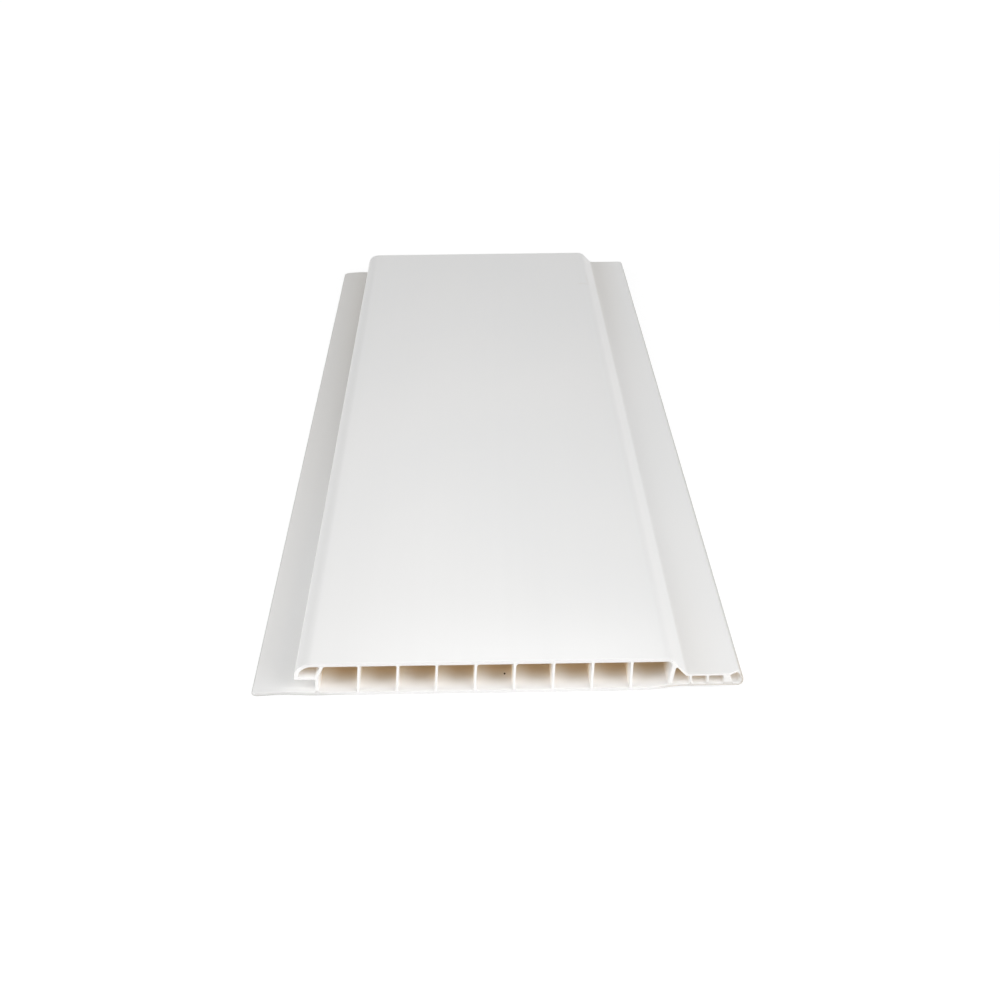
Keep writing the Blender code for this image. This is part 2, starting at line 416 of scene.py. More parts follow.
    def cell_floor(self, start_x: float, end_x: float, skin: float) -> list[Corner]:
        """Floor of a hollow, with the bends of the back's step that it spans.

        Args:
            start_x: Where the floor starts.
            end_x: Where it ends.
            skin: Thickness of the back under it.

        Returns:
            The floor's corners.
        """
        bends = [x for x in self.back_bends if start_x < x < end_x]
        return ([(start_x, self.back_height(start_x) + skin, self.cell_radius)]
                + [(x, self.back_height(x) + skin, self.back_step_radius) for x in bends]
                + [(end_x, self.back_height(end_x) + skin, self.cell_radius)])

    def main_cell(self, index: int) -> np.ndarray:
        """One of the upright cells, from the ceiling on its groove side down and round.

        Args:
            index: Number of the cell, from 0 at the groove.

        Returns:
            Complex points of the hollow.
        """
        start_x = self.web_foot_x(index - 1) + self.web / 2.0
        end_x = self.web_foot_x(index) - self.web / 2.0
        top_radius = self.soft_cell_radii.get(index, self.cell_radius)
        start_side = [(start_x + self.web_lean, self.ceiling, top_radius)]
        end_side = [(end_x + self.web_lean, self.ceiling, self.cell_radius)]
        if index == 0:
            start_x = self.first_cell_x
            start_side = [(start_x + self.nose_web_run, self.ceiling, self.cell_radius),
                          (start_x, self.nose_cell_floor, self.ramp_cell_radius)]
        if index == self.cell_count - 1:
            end_x = self.end_wall_x(self.skin + self.tongue_bottom, -1)
            shoulder_x, shoulder_z = self.ramp_meets_end_wall(-1, self.skin)
            slant_x = self.ramp_inner_x(self.ceiling, self.skin)
            end_side = [(shoulder_x, shoulder_z, self.ramp_cell_radius),
                        (slant_x, self.ceiling, self.ramp_cell_radius)]
        floor = self.cell_floor(start_x, end_x, self.skin)
        return round_corners(start_side + floor + end_side, self.turn_step)

    def nose_cell(self) -> np.ndarray:
        """Hollow of the nose, between its rounded end and the slanted web.

        Returns:
            Complex points of the hollow.
        """
        corners = self.dome(self.skin, self.nose_end_wall) + [
            (self.nose_tip_x + self.nose_end_wall, self.nose_cell_floor, 0.0),
            (self.flange_reach, self.nose_cell_floor, self.cell_radius),
            (self.flange_reach + self.nose_web_run, self.ceiling, self.cell_radius),
        ]
        return round_corners(corners, self.turn_step)

    def ramp_cell(self) -> np.ndarray:
        """Three-cornered hollow under the ramp, between the end wall and the first tongue web.

        Returns:
            Complex points of the hollow.
        """
        ceiling = self.tongue_ceiling
        apex_x, apex_z = self.ramp_meets_end_wall(1, self.ramp_skin)
        start_x = self.end_wall_x(self.tongue_floor, 1)
        corners = [(apex_x, apex_z, self.cell_radius)]
        corners += self.cell_floor(start_x, self.first_tongue_web_x, self.tongue_skin)
        corners += [(self.first_tongue_web_x, ceiling, self.cell_radius),
                    (self.ramp_inner_x(ceiling, self.ramp_skin), ceiling, 0.0)]
        return round_corners(corners, self.turn_step)

    def tongue_cell(self, index: int) -> np.ndarray:
        """One of the tongue's box hollows.

        Args:
            index: Number of the hollow, from 0 at the ramp.

        Returns:
            Complex points of the hollow.
        """
        floor, ceiling = self.tongue_floor, self.tongue_ceiling
        pitch = self.tongue_cell_width + self.tongue_web
        start = self.first_tongue_web_x + self.tongue_web + index * pitch
        end = start + self.tongue_cell_width
        sides = ((start, ceiling), (start, floor), (end, floor), (end, ceiling))
        return round_corners([(x, z, self.cell_radius) for x, z in sides], self.turn_step)

    def tip_cell(self) -> np.ndarray:
        """Last hollow, behind the tongue's thin round tip.

        Returns:
            Complex points of the hollow.
        """
        floor, ceiling = self.tongue_floor, self.tongue_ceiling
        end = self.overall_width - self.tip_wall
        start = end - self.tip_cell_width
        tip_radius = self.tip_radius - self.tip_wall
        corners = [(start, ceiling, self.cell_radius),
                   (start + self.tip_cell_slant, floor, self.cell_radius),
                   (end, floor, tip_radius),
                   (end, ceiling, tip_radius)]
        return round_corners(corners, self.turn_step)

    def loops(self) -> list[tuple[Wall, np.ndarray]]:
        """Every closed loop of the section, the outside first, with material on its left.

        Returns:
            Pairs of what the loop bounds and its complex points.
        """
        outside = fill_runs(turned(self.outside(), True), self.face_run)
        mains = [self.main_cell(index) for index in range(self.cell_count)]
        boxes = [self.tongue_cell(index) for index in range(self.tongue_cell_count)]
        hollows = [(Wall.EDGE_CELL, self.nose_cell())]
        hollows += [(Wall.MAIN_CELL, cell) for cell in mains]
        hollows += [(Wall.EDGE_CELL, self.ramp_cell())]
        hollows += [(Wall.TONGUE_CELL, cell) for cell in boxes]
        hollows += [(Wall.TIP_CELL, self.tip_cell())]
        return [(Wall.SKIN, outside)] + [
            (wall, fill_runs(turned(hollow, False), self.hollow_run)) for wall, hollow in hollows]


@dataclass(frozen=True)
class SawCut:
    """How a cut end departs from a flat, sharp one: softened arrises, worn corner and a chip."""

    softening: float = 0.09 * MM
    softening_steps: int = 4
    corner_width: float = 1.3 * MM
    corner_length: float = 1.4 * MM
    wander: float = 0.05 * MM
    wander_waves: tuple[Span, ...] = ((210.0, 0.0), (77.0, 1.3))
    chip_depth: float = 0.0
    chip_start_x: float = 111.7 * MM
    chip_deepest_x: float = 113.7 * MM
    chip_end_x: float = 115.0 * MM
    chip_end_depth: float = 1.2 * MM
    chip_low_z: float = 2.9 * MM
    chip_high_z: float = 3.6 * MM
    reach: float = 6.0 * MM

    def shift(self, outline: np.ndarray) -> np.ndarray:
        """How far the cut lies inside the plank's end at each point of the section.

        The flange's worn corner is a quarter ellipse. The saw's wander is half of its most, plus
        a quarter of it times the sine of each wave's rate * x + lag. The chip deepens in a
        straight slope to its deepest place, rises a little to the tip, and fades out downwards.

        Args:
            outline: Complex points of the section.

        Returns:
            The inward shift at each point.
        """
        x = outline.real
        z = outline.imag
        worn = np.clip(1.0 - x / self.corner_width, 0.0, 1.0)
        corner = self.corner_length * (1.0 - np.sqrt(1.0 - worn ** 2))
        waves = sum(np.sin(x * rate + lag) for rate, lag in self.wander_waves)
        wander = self.wander * (0.5 + 0.25 * waves)
        if self.chip_depth <= 0.0:
            return corner + wander
        depths = np.interp(x, [self.chip_start_x, self.chip_deepest_x, self.chip_end_x],
                           [0.0, self.chip_depth, self.chip_end_depth])
        return corner + wander + depths * smooth_step(z, self.chip_low_z, self.chip_high_z)


@dataclass
class Plank:
    """The extruded plank: its section drawn along Y between two saw cuts, as one closed mesh."""

    section: PlankSection
    near_cut: SawCut
    far_cut: SawCut
    length: float
    origin: Vector
    station_run: float = 9.0 * MM
    close_stations: tuple[float, ...] = (0.6 * MM, 1.5 * MM, 3.0 * MM, 5.0 * MM)
    flange_wave: float = 0.07 * MM
    flange_wave_length: float = 170.0 * MM
    flange_wave_lag: float = 0.6
    upright_slope: Span = (0.5, 0.9)
    sharp_angle: float = math.radians(32.0)
    name: str = "ceiling_plank"

    def stations(self) -> tuple[np.ndarray, np.ndarray]:
        """Rings along the plank, with the arrises of both cuts rounded by a quarter circle.

        Near a cut the ring lies r - r cos(a) from the end and r - r sin(a) inside the surface.

        Returns:
            Distance from the near end and inset of each ring.
        """
        angles = np.linspace(0.0, math.pi / 2.0, self.near_cut.softening_steps + 1)
        soft_near = self.near_cut.softening
        soft_far = self.far_cut.softening
        count = math.ceil(self.length / self.station_run)
        close = np.array(self.close_stations)
        middle = np.linspace(0.0, self.length, count + 1)[1:-1]
        places = np.concatenate([soft_near * (1.0 - np.cos(angles)), close, middle,
                                 self.length - close[::-1],
                                 self.length - soft_far * (1.0 - np.cos(angles[::-1]))])
        insets = np.concatenate([soft_near * (1.0 - np.sin(angles)),
                                 np.zeros(2 * len(close) + len(middle)),
                                 soft_far * (1.0 - np.sin(angles[::-1]))])
        return places, insets

    def rings(self, outline: np.ndarray) -> np.ndarray:
        """Carry one loop of the section along the plank.

        The flange waves as a sine of y with its bow, so it stays still at its edge and its root.

        Args:
            outline: Complex points of the loop, with material on its left.

        Returns:
            Points of shape rings by loop points by 3, from the flange's edge and near end.
        """
        places, insets = self.stations()
        along = np.roll(outline, -1) - np.roll(outline, 1)
        inward = 1j * along / np.abs(along)
        section = outline[None, :] + insets[:, None] * inward[None, :]
        near_fade = np.clip(1.0 - places / self.near_cut.reach, 0.0, 1.0)[:, None]
        far_fade = np.clip(1.0 - (self.length - places) / self.far_cut.reach, 0.0, 1.0)[:, None]
        y = (places[:, None] + near_fade * self.near_cut.shift(outline)[None, :]
             - far_fade * self.far_cut.shift(outline)[None, :])
        on_flange = section.imag < self.section.nose_underside / 2.0
        hump = on_flange * self.section.bow(np.clip(section.real, 0.0, self.section.flange_reach))
        wave = np.sin(2.0 * np.pi * y / self.flange_wave_length + self.flange_wave_lag)
        z = section.imag + self.flange_wave * wave * hump / self.section.flange_bow
        return np.stack([section.real, y, z], axis=-1)

    def face_marks(self, wall: Wall, outline: np.ndarray, rows: int) -> dict[str, np.ndarray]:
        """What the faces drawn from one loop tell the finish.

        Args:
            wall: What the loop bounds.
            outline: Complex points of the loop.
            rows: Rows of faces along the plank.

        Returns:
            One number per face for each name of a mark.
        """
        along = np.roll(outline, -1) - outline
        upright = smooth_step(np.abs(along.imag / along), *self.upright_slope)
        upright = upright * (wall is not Wall.SKIN)
        start_wall = upright * (along.imag > 0.0)
        end_wall = upright - start_wall
        # seeping: each face's share of the painted glow that stands in for light in the hollows
        seeping = (wall.level_seeping + (wall.start_seeping - wall.level_seeping) * start_wall
                   + (wall.end_seeping - wall.level_seeping) * end_wall)
        marks = {"tan_depth": np.full(len(outline), wall.tan_depth), "seeping": seeping,
                 "start_wall": start_wall, "end_wall": end_wall}
        return {name: np.tile(values, rows) for name, values in marks.items()}

    def mesh(self) -> bpy.types.Mesh:
        """Join the drawn loops and the filled ends into one closed mesh.

        Returns:
            The mesh, with the marks tan_depth, seeping, start_wall, end_wall and cut on its faces;
            tan_depth and seeping steer the hollows' painted shade and painted glow.
        """
        points, quads, marks, ends = [], [], [], []
        total = 0
        for wall, outline in self.section.loops():
            ring = self.rings(outline)
            rows, columns = ring.shape[:2]
            grid = total + np.arange(rows * columns).reshape(rows, columns)
            ahead = np.roll(grid, -1, axis=1)
            corners = np.stack([grid[:-1], grid[1:], ahead[1:], ahead[:-1]], axis=-1)
            quads.append(corners.reshape(-1, 4))
            marks.append(self.face_marks(wall, outline, rows - 1))
            points.append(ring.reshape(-1, 3))
            ends.append(grid)
            total += grid.size
        cloud = np.concatenate(points)
        near = self.fill([grid[0] for grid in ends], cloud)
        far = self.fill([grid[-1] for grid in ends], cloud)[:, ::-1]
        cloud = cloud + np.array(self.origin)[None, :]
        sides = np.concatenate(quads)
        faces = [tuple(face) for face in sides.tolist() + near.tolist() + far.tolist()]
        mesh = bpy.data.meshes.new(self.name)
        mesh.from_pydata(cloud.tolist(), [], faces)
        cut_count = len(near) + len(far)
        for name in marks[0]:
            parts = [part[name] for part in marks]
            self.mark(mesh, name, np.concatenate(parts + [np.zeros(cut_count)]))
        self.mark(mesh, "cut", np.concatenate([np.zeros(len(sides)), np.ones(cut_count)]))
        smooth = np.concatenate([np.ones(len(sides), bool), np.zeros(cut_count, bool)])
        mesh.set_sharp_from_angle(angle=self.sharp_angle)
        mesh.polygons.foreach_set("use_smooth", smooth)
        mesh.update()
        return mesh

    @staticmethod
    def fill(loops: list[np.ndarray], cloud: np.ndarray) -> np.ndarray:
        """Fill a cut end between its loops with triangles that leave the hollows open.

        A triangle is material where a line from its middle towards +X crosses the loops an odd
        number of times.

        Args:
            loops: Point numbers of each loop.
            cloud: Every point of the mesh.

        Returns:
            Triangles of point numbers, counter-clockwise as seen from the near end.
        """
        numbers = np.concatenate(loops)
        starts = cloud[numbers][:, [0, 2]]
        stops = cloud[np.concatenate([np.roll(loop, -1) for loop in loops])][:, [0, 2]]
        sizes = np.array([len(loop) for loop in loops])
        local = np.arange(len(numbers))
        firsts = np.repeat(np.cumsum(sizes) - sizes, sizes)
        ahead = firsts + (local - firsts + 1) % np.repeat(sizes, sizes)
        flat = [Vector(point) for point in (starts / MM).tolist()]
        edges = list(zip(local.tolist(), ahead.tolist()))
        whole_hull = 0
        _, _, faces, sources, _, _ = delaunay_2d_cdt(flat, edges, [], whole_hull, WELD)
        picked = np.array([source[0] for source in sources])[np.array(faces)]
        middles = starts[picked].mean(axis=1)[:, None, :]
        spans = (starts[None, :, 1] > middles[..., 1]) != (stops[None, :, 1] > middles[..., 1])
        rise = np.where(stops[:, 1] == starts[:, 1], 1.0, stops[:, 1] - starts[:, 1])
        crossing = starts[:, 0] + (middles[..., 1] - starts[:, 1]) * (stops - starts)[:, 0] / rise
        in_material = np.sum(spans & (crossing > middles[..., 0]), axis=1) % 2 == 1
        triangles = numbers[picked[in_material]]
        first, second, third = (cloud[triangles[:, k]][:, [0, 2]] for k in range(3))
        one, other = second - first, third - first
        area = one[:, 0] * other[:, 1] - other[:, 0] * one[:, 1]
        return np.where((area > 0.0)[:, None], triangles, triangles[:, ::-1])

    @staticmethod
    def mark(mesh: bpy.types.Mesh, name: str, values: np.ndarray) -> None:
        """Write one number for each face of a mesh under a name.

        Args:
            mesh: The mesh.
            name: Name of the attribute.
            values: One number for each face.
        """
        layer = mesh.attributes.new(name, "FLOAT", "FACE")
        layer.data.foreach_set("value", values.astype(np.float32))

    def build(self, finish: "PvcFinish") -> bpy.types.Object:
        """Make the plank's object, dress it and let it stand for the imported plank.

        Args:
            finish: The plastic's finish.

        Returns:
            The finished object.
        """
        mesh = self.mesh()
        mesh.materials.append(finish.material())
        plank = bpy.data.objects.new(self.name, mesh)
        bpy.context.scene.collection.objects.link(plank)
        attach(plank, "root")
        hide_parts("pvc_panel")
        LOG.info("%s: %d points, %d faces", self.name, len(mesh.vertices), len(mesh.polygons))
        return plank


class Field:
    """A socket of numbers, written in expressions that add the Math nodes they need."""

    def __init__(self, graph: "Graph", socket: bpy.types.NodeSocket) -> None:
        """Wrap a socket.

        Args:
            graph: The graph that the socket is in.
            socket: An output socket of numbers.
        """
        self.graph = graph
        self.socket = socket

    def combine(self, operation: str, first: Any, second: Any) -> "Field":
        """Join two operands with a Math node.

        Args:
            operation: The Math node's operation.
            first: A field or a number.
            second: A field or a number.

        Returns:
            The result as a field.
        """
        node = self.graph.node("ShaderNodeMath", {"operation": operation}, {0: first, 1: second})
        return Field(self.graph, node.outputs[0])

    def __add__(self, other: "Operand") -> "Field":
        """Sum."""
        return self.combine("ADD", self, other)

    def __radd__(self, other: "Operand") -> "Field":
        """Sum with the number first."""
        return self.combine("ADD", other, self)

    def __sub__(self, other: "Operand") -> "Field":
        """Difference."""
        return self.combine("SUBTRACT", self, other)

    def __rsub__(self, other: "Operand") -> "Field":
        """Difference with the number first."""
        return self.combine("SUBTRACT", other, self)

    def __mul__(self, other: "Operand") -> "Field":
        """Product."""
        return self.combine("MULTIPLY", self, other)

    def __rmul__(self, other: "Operand") -> "Field":
        """Product with the number first."""
        return self.combine("MULTIPLY", other, self)

    def __truediv__(self, other: "Operand") -> "Field":
        """Quotient."""
        return self.combine("DIVIDE", self, other)

    def __rtruediv__(self, other: "Operand") -> "Field":
        """Quotient with the number first."""
        return self.combine("DIVIDE", other, self)

    def __pow__(self, other: "Operand") -> "Field":
        """Power."""
        return self.combine("POWER", self, other)

    def __rpow__(self, other: "Operand") -> "Field":
        """Power with the number first."""
        return self.combine("POWER", other, self)

    def __abs__(self) -> "Field":
        """Size without sign."""
        return self.combine("ABSOLUTE", self, 0.0)

    def cosine(self) -> "Field":
        """Cosine."""
        return self.combine("COSINE", self, 0.0)

    def fraction(self) -> "Field":
        """Part over the whole number below."""
        return self.combine("FRACT", self, 0.0)

    def maximum(self, other: "Operand") -> "Field":
        """Larger of the two."""
        return self.combine("MAXIMUM", self, other)

    def step(self, low: float, high: float) -> "Field":
        """Smooth step from 0 at low to 1 at high, which may be the smaller number.

        Args:
            low: Where the step is 0.
            high: Where the step is 1.

        Returns:
            The step as a field.
        """
        if low > high:
            return 1.0 - self.step(high, low)
        node = self.graph.node("ShaderNodeMapRange", {"interpolation_type": "SMOOTHSTEP"},
                               {"Value": self, "From Min": low, "From Max": high})
        return Field(self.graph, node.outputs["Result"])

    def between(self, low: float, high: float, soft: float) -> "Field":
        """Read 1 between two numbers and 0 well outside them.

        Args:
            low: Lower number.
            high: Higher number.
            soft: Width outside them over which the 1 fades.

        Returns:
            The band as a field.
        """
        return self.step(low - soft, low) * self.step(high + soft, high)


Operand = Union[Field, float]


class Graph:
    """The node tree of a material or of the world, emptied, with one way to add a node."""

    def __init__(self, tree: bpy.types.NodeTree) -> None:
        """Take over a tree and clear it."""
        self.tree = tree
        tree.nodes.clear()

    def node(self, kind: str, settings: dict[str, Any], sockets: dict[Any, Any]) -> bpy.types.Node:
        """Add a node.

        Args:
            kind: The node's type.
            settings: Its own settings, set first; stops are a ramp's places and colours.
            sockets: A value, a field or an output socket for each input, by name or number.

        Returns:
            The new node.
        """
        node = self.tree.nodes.new(kind)
        for name, value in settings.items():
            if name == "stops":
                self.set_stops(node.color_ramp, value)
            else:
                setattr(node, name, value)
        for name, value in sockets.items():
            self.feed(node.inputs[name], value)
        return node

    def feed(self, target: bpy.types.NodeSocket, value: Any) -> None:
        """Link or set one input socket.

        Args:
            target: The input socket.
            value: A field, an output socket, a colour or a plain value.
        """
        if isinstance(value, Field):
            value = value.socket
        if isinstance(value, bpy.types.NodeSocket):
            self.tree.links.new(value, target)
        elif isinstance(value, tuple) and len(value) == 3 and len(target.default_value) == 4:
            target.default_value = (*value, 1.0)
        else:
            target.default_value = value

    @staticmethod
    def set_stops(ramp: bpy.types.ColorRamp, stops: Sequence[tuple[float, Rgb]]) -> None:
        """Give a colour ramp its stops.

        Args:
            ramp: The ramp.
            stops: Places and colours, in order.
        """
        while len(ramp.elements) > 1:
            ramp.elements.remove(ramp.elements[-1])
        ramp.elements[0].position = stops[0][0]
        ramp.elements[0].color = (*stops[0][1], 1.0)
        for place, colour in stops[1:]:
            ramp.elements.new(place).color = (*colour, 1.0)

    def place(self) -> tuple[bpy.types.NodeSocket, Field, Field, Field]:
        """Read the object coordinates.

        Returns:
            Their socket, then x, y and z as fields.
        """
        whole = self.node("ShaderNodeTexCoord", {}, {}).outputs["Object"]
        parts = self.node("ShaderNodeSeparateXYZ", {}, {"Vector": whole}).outputs
        return whole, *(Field(self, parts[axis]) for axis in "XYZ")

    def face_mark(self, name: str) -> Field:
        """The number that each face carries under a name."""
        node = self.node("ShaderNodeAttribute", {"attribute_name": name}, {})
        return Field(self, node.outputs["Fac"])

    def noise(self, where: bpy.types.NodeSocket, stretch: Point, detail: float) -> Field:
        """Noise from 0 to 1.

        Args:
            where: Coordinates to read it at.
            stretch: Cycles per metre along each axis.
            detail: Octaves of finer noise.

        Returns:
            The noise as a field.
        """
        scaled = self.node("ShaderNodeMapping", {}, {"Vector": where, "Scale": stretch})
        node = self.node("ShaderNodeTexNoise", {},
                         {"Vector": scaled.outputs["Vector"], "Scale": 1.0, "Detail": detail})
        return Field(self, node.outputs["Fac"])

    def blend(self, factor: Operand, first: Any, second: Any) -> bpy.types.NodeSocket:
        """Mix two colours.

        Args:
            factor: 0 gives the first, 1 the second.
            first: A colour or a colour socket.
            second: A colour or a colour socket.

        Returns:
            The mixed colour's socket.
        """
        node = self.node("ShaderNodeMix", {"data_type": "RGBA"},
                         {"Factor": factor, 6: first, 7: second})
        return node.outputs[2]

    def seen_directly(self) -> Field:
        """1 for camera, glossy and transmission rays, which see the plain background.

        Returns:
            The field.
        """
        rays = self.node("ShaderNodeLightPath", {}, {}).outputs
        camera, glossy, through = (
            Field(self, rays[f"Is {kind} Ray"]) for kind in ("Camera", "Glossy", "Transmission"))
        return camera.maximum(glossy).maximum(through)


class Spot:
    """A point of the plank as the finish reads it: places, distances and its face's marks."""

    def __init__(self, graph: Graph, section: PlankSection, length: float) -> None:
        """Add the nodes that read the point.

        across runs from the flange's outer edge and inset from the tongue's tip. along is the
        share of the length from the near cut, in_cell the share of a cell's pitch from its wall
        towards the groove, and depth the share of the depth at which a hollow is fully tan.

        Args:
            graph: The material's graph.
            section: The plank's section.
            length: The plank's length.
        """
        half_width = section.overall_width / 2.0
        first_cell_x = section.web_foot_x(0) + section.web / 2.0
        cell_pitch = section.web_foot_x(1) - section.web_foot_x(0)
        self.graph = graph
        self.where, self.x, self.y, self.z = graph.place()
        self.across = self.x + half_width
        self.inset = half_width - self.x
        self.from_near = self.y + length / 2.0
        self.from_cut = length / 2.0 - abs(self.y)
        self.along = self.from_near / length
        self.in_cell = ((self.across - first_cell_x) / cell_pitch).fraction()
        self.cut = graph.face_mark("cut")
        self.seeping = graph.face_mark("seeping")
        self.start_wall = graph.face_mark("start_wall")
        self.end_wall = graph.face_mark("end_wall")
        tan_depth = graph.face_mark("tan_depth")
        self.depth = self.from_cut / tan_depth.maximum(1.0 * MM)
        self.hollow = tan_depth.step(0.0, 1.0 * MM)
        self.main_cell = tan_depth.step(Wall.TIP_CELL.tan_depth, Wall.MAIN_CELL.tan_depth)


@dataclass(frozen=True)
class Mark:
    """A small stain: a soft-edged ellipse on the faces between two heights."""

    x: float
    y: float
    half_width: float
    half_length: float
    heights: Span
    colour: Rgb
    strength: float
    fade: Span = (1.3, 0.4)
    height_fade: float = 0.1 * MM

    def share(self, spot: Spot) -> Field:
        """How much of the stain shows at a point.

        Args:
            spot: The point.

        Returns:
            The share, up to the stain's strength.
        """
        across = (spot.x - self.x) / self.half_width
        along = (spot.y - self.y) / self.half_length
        reach = across * across + along * along
        level = spot.z.between(*self.heights, self.height_fade)
        return reach.step(*self.fade) * level * self.strength


@dataclass(frozen=True)
class PaintedSeepingGlow:
    """Painted light: a faint glow on the hollows' walls and in the groove, standing in for light
    that seeps through the thin webs and the nose, and for the lamps' light that falls in at the
    mouths.
    """

    pale: Rgb = (0.224, 0.205, 0.184)
    tan: Rgb = (0.205, 0.168, 0.120)
    tan_depth: Span = (0.3, 0.9)
    start_side: Span = (0.52, 0.06)
    start_spill: float = 0.40
    end_side: Span = (0.70, 0.95)
    end_spill: float = 0.22
    low_z: Span = (7.0 * MM, 1.5 * MM)
    start_low_gain: float = 0.3
    end_low_gain: float = 2.6
    end_wall_loss: float = 0.85
    end_wall_depth: Span = (0.4, 1.2)
    mouth_depth: Span = (0.0, 0.34)
    deep_loss: float = 0.6
    deep_depth: Span = (0.5, 1.2)
    deep_glow: float = 0.14
    glow_depth: Span = (0.7, 1.3)
    last_cell: Span = (89.5 * MM, 93.5 * MM)
    last_cell_loss: float = 0.55
    in_groove: Rgb = (0.065, 0.064, 0.061)
    groove_start: Span = (8.6 * MM, 11.5 * MM)
    groove_end: Span = (15.5 * MM, 15.2 * MM)
    groove_z: Span = (0.6 * MM, 4.2 * MM)
    groove_fade: float = 0.1 * MM
    groove_along: Span = (0.5, 0.05)
    groove_mouth: Span = (0.0, 0.01)
    corner: Span = (12.8 * MM, 14.2 * MM)
    corner_gain: float = 1.4

    def in_hollow(self, spot: Spot) -> Field:
        """How strongly the painted glow lights the walls of a hollow at a point.

        Args:
            spot: The point.

        Returns:
            The share of the light, 0 on skin and sawn ends.
        """
        # Painted light and shade: spill brightens the cell sides that the lamps reach, low_down the
        # low walls, and end_wall_loss darkens the end walls deep in.
        spill = (self.start_spill * spot.in_cell.step(*self.start_side) * (1.0 - spot.start_wall)
                 + self.end_spill * spot.in_cell.step(*self.end_side) * (1.0 - spot.end_wall))
        low_gain = self.start_low_gain * spot.start_wall + self.end_low_gain * spot.end_wall
        low_down = spot.main_cell * spot.z.step(*self.low_z) * low_gain
        end_wall = spot.main_cell * spot.end_wall * spot.depth.step(*self.end_wall_depth)
        share = (spot.seeping * (1.0 + low_down) * (1.0 - self.end_wall_loss * end_wall)
                 + spot.main_cell * spill)
        share = share * spot.depth.step(*self.mouth_depth)
        share = share * (1.0 - self.deep_loss * spot.depth.step(*self.deep_depth))
        share = share + self.deep_glow * spot.main_cell * spot.depth.step(*self.glow_depth)
        last_cell = spot.main_cell * spot.across.step(*self.last_cell)
        return share * (1.0 - self.last_cell_loss * last_cell)

    def under_nose(self, spot: Spot) -> Field:
        """How strongly the groove glows, painted light that fills its shade: most in its corner,
        and nothing at the far end.

        Args:
            spot: The point.

        Returns:
            The share of the light.
        """
        inside = (spot.across.step(*self.groove_start) * spot.across.step(*self.groove_end)
                  * spot.z.between(*self.groove_z, self.groove_fade))
        near = spot.along.step(*self.groove_along) * spot.along.step(*self.groove_mouth)
        corner = 1.0 + self.corner_gain * spot.across.step(*self.corner)
        return inside * near * corner * (1.0 - spot.cut)

    def colour(self, spot: Spot) -> bpy.types.NodeSocket:
        """Colour of the painted glow at a point, black on the skin and the sawn ends.

        Args:
            spot: The point.

        Returns:
            The colour's socket.
        """
        shine = spot.graph.blend(spot.depth.step(*self.tan_depth), self.pale, self.tan)
        light = spot.graph.blend(self.in_hollow(spot), BLACK, shine)
        return spot.graph.blend(self.under_nose(spot), light, self.in_groove)


@dataclass(frozen=True)
class PaintedHollowShade:
    """Colour of the hollows, painted shade: white at the mouths, tan further in where less light
    reaches, and a darker shaded tan on upright walls deep in.
    """

    mouth_white: Rgb = (0.868, 0.866, 0.862)
    shallow_cream: Rgb = (0.870, 0.838, 0.797)
    deep_tan: Rgb = (0.905, 0.760, 0.570)
    shaded_tan: Rgb = (0.58, 0.475, 0.345)
    white_until: float = 0.10
    cream_at: float = 0.42
    tan_from: float = 0.85
    start_wall_paling: float = 1.5
    start_side_paling: float = 0.45
    start_side: Span = (0.52, 0.06)
    end_shade_depth: Span = (0.30, 1.1)
    end_shade_z: Span = (1.2 * MM, 3.5 * MM)
    start_shade: float = 0.42
    start_shade_depth: Span = (0.30, 0.60)
    start_shade_z: Span = (2.0 * MM, 5.0 * MM)

    def colour(self, spot: Spot) -> bpy.types.NodeSocket:
        """Colour of a hollow's walls at a point, painted shade that reads as less deep on the walls
        and sides that light reaches.

        Args:
            spot: The point.

        Returns:
            The colour's socket.
        """
        # Painted light: the groove-side walls and sides of the cells stay paler deeper in, where
        # the lamps' light reaches.
        paling = (self.start_wall_paling * spot.start_wall).maximum(
            self.start_side_paling * spot.in_cell.step(*self.start_side))
        depth = spot.depth / (1.0 + paling)
        ramp = spot.graph.node("ShaderNodeValToRGB", {"stops": [
            (0.0, self.mouth_white), (self.white_until, self.mouth_white),
            (self.cream_at, self.shallow_cream), (self.tan_from, self.deep_tan),
            (1.0, self.deep_tan)]}, {"Fac": depth})
        end_wall = spot.end_wall * depth.step(*self.end_shade_depth)
        start_wall = self.start_shade * spot.start_wall * depth.step(*self.start_shade_depth)
        shade = (end_wall * spot.z.step(*self.end_shade_z)
                 + start_wall * spot.z.step(*self.start_shade_z))
        return spot.graph.blend(spot.main_cell * shade, ramp.outputs["Color"], self.shaded_tan)


